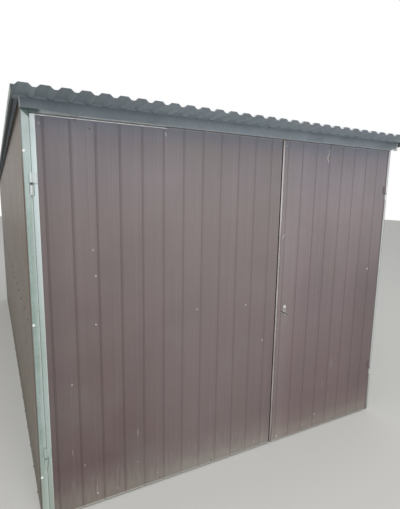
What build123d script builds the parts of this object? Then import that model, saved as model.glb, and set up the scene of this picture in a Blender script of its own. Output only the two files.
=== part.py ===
from build123d import *
import math
import os

# Metal garage: a light frame of galvanised square tube, clad in brown rolled steel sheet,
# with a gate of two unequal leaves across its front and a ribbed roof that falls to the rear.
# Millimetres. X runs to the right seen from the gate, Y runs from the gate to the rear wall
# and Z is up. The origin is on the ground, under the middle of the roof.

# Overall sizes
frame_width = 2526.0        # over the outer faces of the corner posts
frame_length = 5000.0       # over the front and rear faces of the corner posts
roof_front_height = 2142.0  # underside of the roof above the front faces of the posts
roof_slope = 2.5            # degrees, falling to the rear
front_overhang = 190.0      # roof beyond the front faces of the posts
rear_overhang = 190.0       # roof beyond the rear faces of the posts
side_overhang = 44.0        # roof beyond the outer faces of the posts

# Frame tubes
post_size = 35.0
post_rounding = 3.0
rail_height = 35.0
purlin_size = 30.0
purlin_count = 3
header_height = 53.0
mid_rail_height = 1060.0    # centre of the rails at half height, in the walls and the leaves
seat = 0.3                  # clearance under anything that lies on a sloping piece

# Rolled wall sheet: wide flats with narrow grooves pressed inwards
sheet_thickness = 1.0
rib_pitch = 120.0
groove_mouth = 15.0
groove_floor = 5.0
groove_depth = 4.0
crease_offset = 42.0        # shallow stiffening crease to the left of each groove
crease_width = 12.0
crease_depth = 1.0
wall_sheet_lift = 4.0       # wall sheets end this far above the ground
wall_edge_floor = 20.0      # edges of the wall sheets, bent in to lie on the posts

# Roof sheet: ribs that run from front to rear
roof_rib_pitch = 83.5
roof_rib_depth = 13.0
roof_sheet_thickness = 1.0
roof_crest_share = 0.45     # flat top of a rib, as a share of the rib pitch
roof_valley_share = 0.20
roof_first_valley = 4.7     # middle of the first valley, from the left edge of the roof
left_roof_ribs = 10         # whole ribs on the left sheet
middle_roof_ribs = 11
sheet_joint = 0.4           # gap between neighbouring roof sheets

# Flashings
flashing_thickness = 1.0
verge_hang = 31.0           # lower edges of the verges, below the valleys of the roof
verge_leg = 11.0            # lies on the edge of the roof
fascia_proud = 25.0         # front face of the fascia beyond the front faces of the posts
fascia_leg = 18.0
fascia_side_reach = 6.0     # fascia beyond the outer faces of the posts
lip_lift = 12.0             # left end of the fascia's lower lip is bent up by this much
lip_lift_level = 69.0
lip_lift_run = 269.0
end_cap_width = 62.0
end_cap_height = 52.0
end_cap_reach = 41.0        # end cap beyond the outer face of the right-hand post
corner_cap_flange = 40.0

# Gate leaves
leaf_bottom = 12.0
leaf_top_gap = 5.0          # between the leaves and the fascia's lower lip
leaf_top = 2082.0
leaf_post_gap = 6.0
left_leaf_width = 1448.0
meeting_gap = 12.0
leaf_tube = 30.0
leaf_top_rail = 50.0        # height of the top rail, the other rails are as high as the tubes
leaf_frame_proud = 2.0      # front of the leaf frames beyond the front faces of the posts
leaf_frame_inset = 2.0      # frame ends inside the top and bottom edges of its sheet
left_sheet_hinge_inset = 17.0
right_sheet_meeting_inset = 14.0
right_sheet_hinge_inset = 1.0
left_first_groove = 48.0    # from the hinge side edge of the left leaf
right_first_groove = 42.0   # from the meeting edge of the right leaf
low_sheet_width = 652.0     # the first stretch of the left leaf's sheet is cut lower than the rest
low_sheet_drop = 7.0
cover_strip_thickness = 2.0
cover_strip_reach = 6.5     # over the gap between the left leaf and its post
cover_strip_inset = 1.0     # from the edge of the sheet
cover_strip_break = 6.0     # the strip stops this far from the hinges
gate_stop_thickness = 3.0
gate_stop_drop = 36.0

# Hinges: lift-off barrels, the lower half on the post and the upper half on the leaf
barrel_radius = 7.0
barrel_half_height = 48.0
barrel_gap = 5.0
pin_radius = 4.0
pin_length = 28.0
pin_clearance = 0.05
hinge_from_post_edge = 7.0  # axis, measured outwards from the inner face of the post
hinge_proud = 12.0          # axis, in front of the front faces of the posts
hinge_heights = (372.0, 1767.0)
hinge_wing = 4.0
hinge_wing_reach = 15.0

# Lock and latch on the right leaf
lock_from_edge = 69.0       # cylinder axis, from the meeting edge of the right leaf
lock_height = 1000.0
cylinder_radius = 8.5
cylinder_leg_width = 10.0
cylinder_leg_drop = 19.5
cylinder_proud = 2.5
keyhole_width = 2.0
keyhole_height = 8.0
keyhole_depth = 4.0
escutcheon_drop = 14.0      # middle of the plate, below the cylinder's axis
escutcheon_width = 24.0
escutcheon_height = 50.0
escutcheon_thickness = 3.0
lock_case_width = 62.0
lock_case_height = 76.0
lock_case_depth = 22.0
fit_clearance = 0.3
latch_height = 1488.0       # of its bolt
latch_from_edge = 24.0      # bolt, from the meeting edge of the sheet
latch_length = 26.0         # from the bolt to the middle of the round lower end
latch_slant = 52.0          # degrees, falling towards the meeting edge
latch_depth = 2.5
latch_width = 9.0
latch_head_radius = 5.0
latch_head_depth = 3.0

# Places worked out from the sizes above
half_width = frame_width / 2
roof_half_width = half_width + side_overhang
front_y = front_overhang - (frame_length + front_overhang + rear_overhang) / 2
rear_y = front_y + frame_length
inner_half_width = half_width - post_size
sheet_depth = groove_depth + sheet_thickness
sheet_outer_x = half_width + sheet_depth
lip_z = leaf_top + leaf_top_gap
leaf_front_y = front_y - leaf_frame_proud
leaf_sheet_y = leaf_front_y - sheet_depth
left_leaf_x0 = -inner_half_width + leaf_post_gap
left_leaf_x1 = left_leaf_x0 + left_leaf_width
right_leaf_x0 = left_leaf_x1 + meeting_gap
right_leaf_x1 = inner_half_width - leaf_post_gap
hinge_x = inner_half_width + hinge_from_post_edge
hinge_y = front_y - hinge_proud
slope_radians = math.radians(roof_slope)


def roof_underside(y):
    """Height of the roof sheet's underside at a distance y along the garage."""
    return roof_front_height - (y - front_y) * math.tan(slope_radians)


def block(x_range, y_range, z_range):
    """A rectangular piece between two corners."""
    size = [high - low for low, high in (x_range, y_range, z_range)]
    middle = [(low + high) / 2 for low, high in (x_range, y_range, z_range)]
    return Pos(*middle) * Box(*size)


def prism_x(points, x_range):
    """A section given as (y, z) points, carried along X."""
    outline = Plane.YZ.offset(x_range[0]) * Polyline(*points, close=True)
    return extrude(make_face(outline), amount=x_range[1] - x_range[0], dir=(1, 0, 0))


def prism_y(points, y_range):
    """A section given as (x, z) points, carried along Y."""
    outline = Plane.XZ.offset(-y_range[0]) * Polyline(*points, close=True)
    return extrude(make_face(outline), amount=y_range[1] - y_range[0], dir=(0, 1, 0))


def prism_z(points, z_range):
    """A section given as (x, y) points, carried along Z."""
    outline = Plane.XY.offset(z_range[0]) * Polyline(*points, close=True)
    return extrude(make_face(outline), amount=z_range[1] - z_range[0], dir=(0, 0, 1))


def upright(x_range, y_range, z_range, rounding):
    """A standing tube, closed at its ends, with rounded long corners."""
    tube = block(x_range, y_range, z_range)
    return fillet(tube.edges().filter_by(Axis.Z), rounding)


def sheet_line(start, end, first_groove, edge_floor):
    """Front line of a rolled sheet, as (place along it, depth behind its flats).

    With an edge floor, both edges are bent in to the depth of the grooves.
    """
    flat_start = start
    flat_end = end
    if edge_floor:
        edge = edge_floor + (groove_mouth - groove_floor) / 2
        flat_start = start + edge
        flat_end = end - edge
    points = [(flat_start, 0.0)]
    groove = first_groove
    while groove - crease_offset - crease_width / 2 - 1 < flat_start:
        if groove - groove_mouth / 2 - 1 >= flat_start:
            points += groove_line(groove)
        groove += rib_pitch
    while groove + groove_mouth / 2 + 1 <= flat_end:
        crease = groove - crease_offset
        points += [(crease - crease_width / 2, 0.0), (crease, crease_depth), (crease + crease_width / 2, 0.0)]
        points += groove_line(groove)
        groove += rib_pitch
    points.append((flat_end, 0.0))
    if edge_floor:
        points = [(start, groove_depth), (start + edge_floor, groove_depth)] + points
        points += [(end - edge_floor, groove_depth), (end, groove_depth)]
    return points


def groove_line(centre):
    """The four bends of one groove."""
    return [
        (centre - groove_mouth / 2, 0.0),
        (centre - groove_floor / 2, groove_depth),
        (centre + groove_floor / 2, groove_depth),
        (centre + groove_mouth / 2, 0.0),
    ]


def sheet_section(start, end, first_groove, edge_floor=0.0):
    """Closed section of a rolled sheet, as (place along it, depth behind its flats)."""
    front = sheet_line(start, end, first_groove, edge_floor)
    back = [(place, depth + sheet_thickness) for place, depth in reversed(front)]
    return front + back


# Corner posts
def corner_post(side, y_range):
    outer = side * half_width
    inner = side * inner_half_width
    top = roof_underside(y_range[1]) - seat
    return upright((min(outer, inner), max(outer, inner)), y_range, (0.0, top), post_rounding)


front_post_y = (front_y, front_y + post_size)
rear_post_y = (rear_y - post_size, rear_y)
pieces = {
    "front_left_post": corner_post(-1, front_post_y),
    "front_right_post": corner_post(1, front_post_y),
    "rear_left_post": corner_post(-1, rear_post_y),
    "rear_right_post": corner_post(1, rear_post_y),
}

# Beam over the gate, with a flat bar behind it that the closed leaves stop against
header_top = roof_underside(front_post_y[1]) - seat
header_bottom = header_top - header_height
between_posts = (-inner_half_width, inner_half_width)
stop_y = front_post_y[1]
pieces["header_beam"] = block(between_posts, front_post_y, (header_bottom, header_top))
pieces["gate_stop"] = block(
    between_posts,
    (stop_y, stop_y + gate_stop_thickness),
    (header_bottom - gate_stop_drop, header_bottom + gate_stop_drop / 2),
)

# Rails of the side walls
side_y = (front_post_y[1], rear_post_y[0])


def side_rails(side):
    x_range = sorted((side * half_width, side * inner_half_width))
    top_section = [
        (side_y[0], roof_underside(side_y[0]) - seat),
        (side_y[0], roof_underside(side_y[0]) - seat - rail_height),
        (side_y[1], roof_underside(side_y[1]) - seat - rail_height),
        (side_y[1], roof_underside(side_y[1]) - seat),
    ]
    half_rail = rail_height / 2
    return {
        "base_rail": block(x_range, side_y, (0.0, rail_height)),
        "mid_rail": block(x_range, side_y, (mid_rail_height - half_rail, mid_rail_height + half_rail)),
        "top_rail": prism_x(top_section, x_range),
    }


for name, side in (("left", -1), ("right", 1)):
    for rail, shape in side_rails(side).items():
        pieces[f"{name}_{rail}"] = shape

# Rails of the rear wall
rear_top = roof_underside(rear_y) - seat
half_rail = rail_height / 2
pieces["rear_base_rail"] = block(between_posts, rear_post_y, (0.0, rail_height))
pieces["rear_mid_rail"] = block(
    between_posts, rear_post_y, (mid_rail_height - half_rail, mid_rail_height + half_rail)
)
pieces["rear_top_rail"] = block(between_posts, rear_post_y, (rear_top - rail_height, rear_top))


# Studs of the side walls, in two lengths with the middle rail between them
def wall_stud(side, y_range):
    x_range = sorted((side * half_width, side * inner_half_width))
    top = roof_underside(y_range[1]) - seat - rail_height
    lower = block(x_range, y_range, (rail_height, mid_rail_height - half_rail))
    upper = block(x_range, y_range, (mid_rail_height + half_rail, top))
    return Compound(children=[lower, upper])


# Purlins, spaced evenly between the header beam and the rear top rail, each over a pair of studs
for number in range(1, purlin_count + 1):
    purlin_y = front_y + frame_length * number / (purlin_count + 1)
    y_range = (purlin_y - purlin_size / 2, purlin_y + purlin_size / 2)
    purlin_top = roof_underside(y_range[1]) - seat
    pieces[f"roof_purlin_{number}"] = block(between_posts, y_range, (purlin_top - purlin_size, purlin_top))
    pieces[f"left_wall_stud_{number}"] = wall_stud(-1, y_range)
    pieces[f"right_wall_stud_{number}"] = wall_stud(1, y_range)


# Sheets of the side and rear walls, cut off below the slope of the roof
def side_wall_sheet(side):
    section = sheet_section(front_y, rear_y, front_y + rib_pitch, wall_edge_floor)
    outline = [(side * (sheet_outer_x - depth), place) for place, depth in section]
    tall = prism_z(outline, (wall_sheet_lift, roof_front_height))
    under_roof = [
        (front_y, wall_sheet_lift),
        (rear_y, wall_sheet_lift),
        (rear_y, roof_underside(rear_y) - seat),
        (front_y, roof_underside(front_y) - seat),
    ]
    x_range = sorted((side * (sheet_outer_x + 1), side * (half_width - 1)))
    return tall & prism_x(under_roof, x_range)


def rear_wall_sheet():
    section = sheet_section(-half_width, half_width, -half_width + rib_pitch, wall_edge_floor)
    outline = [(place, rear_y + sheet_depth - depth) for place, depth in section]
    return prism_z(outline, (wall_sheet_lift, roof_underside(rear_y + sheet_depth) - seat))


pieces["left_wall_sheet"] = side_wall_sheet(-1)
pieces["right_wall_sheet"] = side_wall_sheet(1)
pieces["rear_wall_sheet"] = rear_wall_sheet()


# Angles that cover the rear corners
def rear_corner_cap(side):
    inside_x = sheet_outer_x
    outside_x = inside_x + flashing_thickness
    inside_y = rear_y + sheet_depth
    outside_y = inside_y + flashing_thickness
    section = [
        (side * inside_x, inside_y),
        (side * (inside_x - corner_cap_flange), inside_y),
        (side * (inside_x - corner_cap_flange), outside_y),
        (side * outside_x, outside_y),
        (side * outside_x, inside_y - corner_cap_flange),
        (side * inside_x, inside_y - corner_cap_flange),
    ]
    return prism_z(section, (wall_sheet_lift, roof_underside(outside_y) - seat))


pieces["rear_left_corner_cap"] = rear_corner_cap(-1)
pieces["rear_right_corner_cap"] = rear_corner_cap(1)

# Roof sheets, drawn flat with their valleys on Z = 0 and then laid on the slope
roof_flank = roof_rib_pitch * (1 - roof_crest_share - roof_valley_share) / 2
roof_half_valley = roof_rib_pitch * roof_valley_share / 2
first_valley_x = -roof_half_width + roof_first_valley
roof_length = (-front_overhang / math.cos(slope_radians), (frame_length + rear_overhang) / math.cos(slope_radians))
on_roof = Pos(0, front_y, roof_front_height) * Rot(X=-roof_slope)


def rib_height(x):
    """Height of the roof sheet over its valleys, at a place across the roof."""
    half_pitch = roof_rib_pitch / 2
    from_valley = abs((x - first_valley_x + half_pitch) % roof_rib_pitch - half_pitch)
    rise = (from_valley - roof_half_valley) / roof_flank
    return roof_rib_depth * min(max(rise, 0.0), 1.0)


def roof_sheet(start, end):
    bends = []
    valley = first_valley_x
    while valley < end + roof_rib_pitch:
        bends += [valley - roof_half_valley - roof_flank, valley - roof_half_valley]
        bends += [valley + roof_half_valley, valley + roof_half_valley + roof_flank]
        valley += roof_rib_pitch
    places = [start] + [bend for bend in bends if start + 1 < bend < end - 1] + [end]
    lower = [(x, rib_height(x)) for x in places]
    upper = [(x, z + roof_sheet_thickness) for x, z in reversed(lower)]
    return on_roof * prism_y(lower + upper, roof_length)


left_joint = first_valley_x + left_roof_ribs * roof_rib_pitch
right_joint = left_joint + middle_roof_ribs * roof_rib_pitch
half_joint = sheet_joint / 2
pieces["roof_sheet_left"] = roof_sheet(-roof_half_width, left_joint - half_joint)
pieces["roof_sheet_middle"] = roof_sheet(left_joint + half_joint, right_joint - half_joint)
pieces["roof_sheet_right"] = roof_sheet(right_joint + half_joint, roof_half_width)


# Verge flashings: angles that lie on the side edges of the roof and hang down from them
def verge_flashing(side):
    under = rib_height(side * roof_half_width) + roof_sheet_thickness + seat
    over = under + flashing_thickness
    inside = roof_half_width + seat
    outside = inside + flashing_thickness
    section = [
        (side * (inside - verge_leg), under),
        (side * inside, under),
        (side * inside, -verge_hang),
        (side * outside, -verge_hang),
        (side * outside, over),
        (side * (inside - verge_leg), over),
    ]
    return on_roof * prism_y(section, roof_length)


pieces["left_verge_flashing"] = verge_flashing(-1)
pieces["right_verge_flashing"] = verge_flashing(1)


# Fascia over the gate: a folded channel with the left end of its lower lip bent up
def header_fascia():
    top = roof_underside(front_y) - seat
    face = front_y - fascia_proud
    section = [
        (front_y, top),
        (face, top),
        (face, lip_z),
        (front_y, lip_z),
        (front_y, lip_z + flashing_thickness),
        (face + flashing_thickness, lip_z + flashing_thickness),
        (face + flashing_thickness, top - flashing_thickness),
        (front_y - flashing_thickness, top - flashing_thickness),
        (front_y - flashing_thickness, top - fascia_leg),
        (front_y, top - fascia_leg),
    ]
    left = -half_width - fascia_side_reach
    right = half_width + end_cap_reach - end_cap_width
    lifted = [
        (left - 1, lip_z - 1),
        (left + lip_lift_run, lip_z - 1),
        (left + lip_lift_run, lip_z),
        (left + lip_lift_level, lip_z + lip_lift),
        (left - 1, lip_z + lip_lift),
    ]
    return prism_x(section, (left, right)) - prism_y(lifted, (face - 1, front_y + 1))


pieces["header_fascia"] = header_fascia()


# Bare metal cap on the right end of the fascia
def fascia_end_cap():
    top = lip_z + end_cap_height
    x_range = (half_width + end_cap_reach - end_cap_width, half_width + end_cap_reach)
    solid = block(x_range, (front_y - fascia_proud, front_y), (lip_z, top))
    hollow = block(
        (x_range[0] - 1, x_range[1] - flashing_thickness),
        (front_y - fascia_proud + flashing_thickness, front_y + 1),
        (lip_z - 1, top - flashing_thickness),
    )
    return solid - hollow


pieces["fascia_end_cap"] = fascia_end_cap()


# Tubes of a gate leaf: two stiles with three rails between them
def leaf_frame(name, x_range):
    y_range = (leaf_front_y, leaf_front_y + leaf_tube)
    bottom = leaf_bottom + leaf_frame_inset
    top = leaf_top - leaf_frame_inset
    stiles_z = (bottom, top)
    low = (x_range[0], x_range[0] + leaf_tube)
    high = (x_range[1] - leaf_tube, x_range[1])
    between = (low[1], high[0])
    half_tube = leaf_tube / 2
    rails = [
        block(between, y_range, (bottom, bottom + leaf_tube)),
        block(between, y_range, (mid_rail_height - half_tube, mid_rail_height + half_tube)),
        block(between, y_range, (top - leaf_top_rail, top)),
    ]
    hinge_stile, meeting_stile = (low, high) if name == "left" else (high, low)
    return {
        f"{name}_leaf_hinge_stile": upright(hinge_stile, y_range, stiles_z, post_rounding / 2),
        f"{name}_leaf_meeting_stile": upright(meeting_stile, y_range, stiles_z, post_rounding / 2),
        f"{name}_leaf_rails": Compound(children=rails),
    }


# Strip on the front of the left hinge stile, which covers the gap to the post between the hinges
def cover_strip():
    bottom = leaf_bottom + leaf_frame_inset
    top = leaf_top - leaf_frame_inset
    sheet_edge = left_leaf_x0 + left_sheet_hinge_inset
    base = block((left_leaf_x0, sheet_edge - cover_strip_inset), (leaf_sheet_y, leaf_front_y), (bottom, top))
    strips = [base]
    start = bottom
    for split in hinge_heights:
        strips.append(cover_lip((start, split - barrel_half_height - cover_strip_break)))
        start = split + barrel_gap + barrel_half_height + cover_strip_break
    strips.append(cover_lip((start, top)))
    return strips


def cover_lip(z_range):
    x_range = (left_leaf_x0 - cover_strip_reach, left_leaf_x0)
    return block(x_range, (leaf_sheet_y, leaf_sheet_y + cover_strip_thickness), z_range)


pieces.update(leaf_frame("left", (left_leaf_x0, left_leaf_x1)))
pieces.update(leaf_frame("right", (right_leaf_x0, right_leaf_x1)))
pieces["left_leaf_hinge_stile"] = Compound(children=[pieces["left_leaf_hinge_stile"], *cover_strip()])


# Rolled sheets of the leaves
def leaf_sheet(start, end, first_groove):
    section = sheet_section(start, end, first_groove)
    outline = [(place, leaf_sheet_y + depth) for place, depth in section]
    return prism_z(outline, (leaf_bottom, leaf_top))


def cylinder_outline(clearance):
    """Front view of the lock cylinder: a round top with a narrower leg under it."""
    leg = Pos(0, -cylinder_leg_drop / 2) * Rectangle(cylinder_leg_width + 2 * clearance, cylinder_leg_drop)
    foot = Pos(0, -cylinder_leg_drop) * Circle(cylinder_leg_width / 2 + clearance)
    return Circle(cylinder_radius + clearance) + leg + foot


def lock_prism(outline, y_range):
    """An outline drawn round the cylinder's axis, carried along Y."""
    plane = Plane(origin=(lock_x, y_range[1], lock_height), x_dir=(1, 0, 0), z_dir=(0, -1, 0))
    return extrude(plane * outline, amount=y_range[1] - y_range[0])


lock_x = right_leaf_x0 + lock_from_edge
left_sheet_x = (left_leaf_x0 + left_sheet_hinge_inset, left_leaf_x1)
right_sheet_x = (right_leaf_x0 + right_sheet_meeting_inset, right_leaf_x1 - right_sheet_hinge_inset)
low_stretch = block(
    (left_sheet_x[0] - 1, left_sheet_x[0] + low_sheet_width),
    (leaf_sheet_y - 1, leaf_front_y + 1),
    (leaf_top - low_sheet_drop, leaf_top + 1),
)
cylinder_hole = lock_prism(cylinder_outline(fit_clearance), (leaf_sheet_y - 1, leaf_front_y + 1))
pieces["left_leaf_sheet"] = leaf_sheet(*left_sheet_x, left_leaf_x0 + left_first_groove) - low_stretch
pieces["right_leaf_sheet"] = leaf_sheet(*right_sheet_x, right_leaf_x0 + right_first_groove) - cylinder_hole

# Lock: a plate and cylinder outside, and a case against the meeting stile inside
plate_middle = -escutcheon_drop
plate_outline = Pos(0, plate_middle) * SlotOverall(escutcheon_height, escutcheon_width, rotation=90)
plate_y = (leaf_sheet_y - escutcheon_thickness, leaf_sheet_y)
cylinder_y = (plate_y[0] - cylinder_proud, leaf_front_y + lock_case_depth - flashing_thickness)
keyhole = lock_prism(Rectangle(keyhole_width, keyhole_height), (cylinder_y[0] - 1, cylinder_y[0] + keyhole_depth))
pieces["lock_escutcheon"] = lock_prism(plate_outline - cylinder_outline(fit_clearance), plate_y)
pieces["lock_cylinder"] = lock_prism(cylinder_outline(0.0), cylinder_y) - keyhole
case_x = (right_leaf_x0 + leaf_tube, right_leaf_x0 + leaf_tube + lock_case_width)
case_z = (lock_height + plate_middle - lock_case_height / 2, lock_height + plate_middle + lock_case_height / 2)
case_block = block(case_x, (leaf_front_y, leaf_front_y + lock_case_depth), case_z)
case_hole = lock_prism(cylinder_outline(fit_clearance), (leaf_front_y - 1, cylinder_y[1] + fit_clearance))
pieces["lock_case"] = case_block - case_hole


# Remains of a latch higher up on the same edge: a slanting strap with a bolt head at its upper end
def upper_latch():
    bolt = (right_sheet_x[0] + latch_from_edge, leaf_sheet_y, latch_height)
    plane = Plane(origin=bolt, x_dir=(1, 0, 0), z_dir=(0, -1, 0))
    outline = Rot(Z=latch_slant) * Pos(-latch_length / 2, 0) * SlotCenterToCenter(latch_length, latch_width)
    strap = extrude(plane * outline, amount=latch_depth)
    head = extrude(plane.offset(latch_depth) * Circle(latch_head_radius), amount=latch_head_depth)
    return strap + fillet(head.edges().group_by(Axis.Y)[0], latch_head_depth / 2)


pieces["upper_latch"] = upper_latch()


# Hinges
def hinge_barrel(side, z_range):
    height = z_range[1] - z_range[0]
    barrel = Pos(side * hinge_x, hinge_y, (z_range[0] + z_range[1]) / 2) * Cylinder(barrel_radius, height)
    return barrel


def post_hinge(side, split_z):
    """Lower half: barrel, pin and the block that welds it to the post."""
    z_range = (split_z - barrel_half_height, split_z)
    pin = Pos(side * hinge_x, hinge_y, split_z + pin_length / 2) * Cylinder(pin_radius, pin_length)
    foot_x = (hinge_x - barrel_radius + 1, hinge_x + barrel_radius - 1)
    foot = block(sorted(side * x for x in foot_x), (hinge_y, front_y), z_range)
    return hinge_barrel(side, z_range) + foot + pin


def leaf_hinge(side, split_z, wing_edge):
    """Upper half: bored barrel and the wing that welds it to the leaf."""
    z_range = (split_z + barrel_gap, split_z + barrel_gap + barrel_half_height)
    near_post = wing_edge + hinge_wing_reach
    section = [
        (side * wing_edge, leaf_sheet_y),
        (side * near_post, leaf_sheet_y),
        (side * (hinge_x - 2), hinge_y + barrel_radius / 2),
        (side * hinge_x, hinge_y - barrel_radius + 2),
        (side * near_post, leaf_sheet_y - hinge_wing - 2),
        (side * wing_edge, leaf_sheet_y - hinge_wing),
    ]
    bore_length = pin_length + fit_clearance
    bore = Pos(side * hinge_x, hinge_y, split_z + bore_length / 2) * Cylinder(pin_radius + pin_clearance, bore_length)
    return hinge_barrel(side, z_range) + prism_z(section, z_range) - bore


left_wing_edge = -left_sheet_x[0] + 2.0
right_wing_edge = right_sheet_x[1] - hinge_wing_reach
pieces["left_post_hinges"] = Compound(children=[post_hinge(-1, z) for z in hinge_heights])
pieces["right_post_hinges"] = Compound(children=[post_hinge(1, z) for z in hinge_heights])
pieces["left_leaf_hinges"] = Compound(
    children=[leaf_hinge(-1, z, left_wing_edge) for z in hinge_heights]
)
pieces["right_leaf_hinges"] = Compound(
    children=[leaf_hinge(1, z, right_wing_edge) for z in hinge_heights]
)

os.makedirs("parts", exist_ok=True)
for name, shape in pieces.items():
    export_step(shape, f"parts/{name}.step")
print(len(pieces), "pieces; hinge axes at x", hinge_x, "y", hinge_y)
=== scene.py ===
import math
import random

import bpy
from mathutils import Matrix, Vector


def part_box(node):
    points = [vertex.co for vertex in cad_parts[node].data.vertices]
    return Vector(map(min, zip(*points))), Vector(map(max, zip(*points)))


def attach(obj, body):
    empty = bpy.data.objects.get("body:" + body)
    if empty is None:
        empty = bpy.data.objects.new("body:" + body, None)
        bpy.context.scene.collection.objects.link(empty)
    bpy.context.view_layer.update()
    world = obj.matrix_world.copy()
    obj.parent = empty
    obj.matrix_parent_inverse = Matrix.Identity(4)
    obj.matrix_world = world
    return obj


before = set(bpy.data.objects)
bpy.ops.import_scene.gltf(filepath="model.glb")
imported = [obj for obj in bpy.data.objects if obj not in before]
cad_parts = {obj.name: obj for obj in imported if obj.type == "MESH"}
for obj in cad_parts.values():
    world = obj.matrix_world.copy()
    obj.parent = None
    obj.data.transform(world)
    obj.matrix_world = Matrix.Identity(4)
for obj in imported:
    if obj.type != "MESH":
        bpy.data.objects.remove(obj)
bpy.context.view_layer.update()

# Camera
# The viewing point of the photograph: standing eye height, a little outside the left corner,
# turned to the right and tipped down. The angles and the lens were worked out from the even
# pitch of the grooves and the edges of the gate.
eye = Vector((-1.4017, -4.4748, 1.7198))
turn_right = math.radians(28.20)
tip_down = math.radians(9.40)
roll = math.radians(0.94)
focal_px = 387.0
photo_long_side_px = 509
axis_below_middle_px = 6.98

level_right = Vector((math.cos(turn_right), -math.sin(turn_right), 0))
level_forward = Vector((math.sin(turn_right), math.cos(turn_right), 0))
world_up = Vector((0, 0, 1))
forward = level_forward * math.cos(tip_down) - world_up * math.sin(tip_down)
tipped_up = world_up * math.cos(tip_down) + level_forward * math.sin(tip_down)
right = level_right * math.cos(roll) + tipped_up * math.sin(roll)
up = tipped_up * math.cos(roll) - level_right * math.sin(roll)
camera_data = bpy.data.cameras.new("camera")
camera_data.sensor_width = 36.0
camera_data.lens = focal_px / photo_long_side_px * camera_data.sensor_width
camera_data.shift_y = axis_below_middle_px / photo_long_side_px
camera_data.clip_end = 200.0
camera = bpy.data.objects.new("camera", camera_data)
camera.matrix_world = Matrix.Translation(eye) @ Matrix((right, up, -forward)).transposed().to_4x4()
bpy.context.scene.collection.objects.link(camera)
bpy.context.scene.camera = camera


def linear(hex_colour):
    """An sRGB hex colour such as "#6f625f" as the linear colour that a shader takes."""
    parts = [int(hex_colour[i:i + 2], 16) / 255 for i in (1, 3, 5)]
    return tuple(c / 12.92 if c <= 0.04045 else ((c + 0.055) / 1.055) ** 2.4 for c in parts) + (1.0,)


def add(tree, kind, settings, sockets):
    """Adds a shader node, sets its properties and fills its inputs. An input takes a value, a socket to
    link, or a node whose first output is linked."""
    made = tree.nodes.new("ShaderNode" + kind)
    for name, value in settings.items():
        if name == "stops":
            ramp = made.color_ramp.elements
            while len(ramp) < len(value):
                ramp.new(1.0)
            for stop, (position, colour) in zip(ramp, value):
                stop.position = position
                stop.color = linear(colour)
        else:
            setattr(made, name, value)
    for name, value in sockets.items():
        if isinstance(value, bpy.types.Node):
            value = value.outputs[0]
        if isinstance(value, bpy.types.NodeSocket):
            tree.links.new(value, made.inputs[name])
        else:
            made.inputs[name].default_value = value
    return made


def new_finish(name):
    """An empty finish: the material, its node tree and its shader."""
    material = bpy.data.materials.new(name)
    material.use_nodes = True
    return material, material.node_tree, material.node_tree.nodes["Principled BSDF"]


# Studio
# A plain pale floor, a white surround and one broad soft lamp from high on the left, like the
# even light of an overcast day. The surround shows white to the camera and in gloss.
floor_colour = "#d9d9d6"
floor_roughness = 0.9
floor_size = 60.0
surround_strength = 0.55
lamp_power = 520.0
lamp_size = 7.0
lamp_place = Vector((-2.2, -9.0, 7.8))
lamp_target = Vector((0.0, -1.5, 1.0))

half = floor_size / 2
floor_mesh = bpy.data.meshes.new("floor")
floor_mesh.from_pydata(
    [(-half, -half, 0), (half, -half, 0), (half, half, 0), (-half, half, 0)], [], [(0, 1, 2, 3)]
)
floor = bpy.data.objects.new("floor", floor_mesh)
bpy.context.scene.collection.objects.link(floor)
floor_paint, tree, shader = new_finish("matt_studio_floor")
shader.inputs["Base Color"].default_value = linear(floor_colour)
shader.inputs["Roughness"].default_value = floor_roughness
floor_mesh.materials.append(floor_paint)

world = bpy.data.worlds.new("surround")
bpy.context.scene.world = world
world.use_nodes = True
tree = world.node_tree
tree.nodes.clear()
path = add(tree, "LightPath", {}, {})
seen = add(
    tree, "Math", {"operation": "MAXIMUM"},
    {0: path.outputs["Is Camera Ray"], 1: path.outputs["Is Glossy Ray"]},
)
strength = add(tree, "MapRange", {}, {"Value": seen, "To Min": surround_strength, "To Max": 1.0})
surround = add(tree, "Background", {}, {"Color": (1, 1, 1, 1), "Strength": strength})
add(tree, "OutputWorld", {}, {"Surface": surround})

lamp_data = bpy.data.lights.new("soft_lamp", "AREA")
lamp_data.energy = lamp_power
lamp_data.size = lamp_size
lamp = bpy.data.objects.new("soft_lamp", lamp_data)
lamp.location = lamp_place
lamp.rotation_euler = (lamp_target - lamp_place).to_track_quat("-Z", "Y").to_euler()
bpy.context.scene.collection.objects.link(lamp)
bpy.context.scene.view_settings.view_transform = "Standard"

# Corner posts and wall studs
# Square steel tube, hot-dip galvanised and never painted. The zinc set in flat crystals, the
# spangle, which have dulled to a blue-green grey: paler where rain runs down, grimy at the foot.
spangle_mm = 11
zinc_cloud_mm = 150
zinc_run_mm = 7
zinc_run_length_mm = 280
white_rust_mm = 4
zinc_tooth_mm = 1.5
red_rust_mm = 45
red_rust = "#7a5238"
white_rust = "#cfd6d2"


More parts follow.
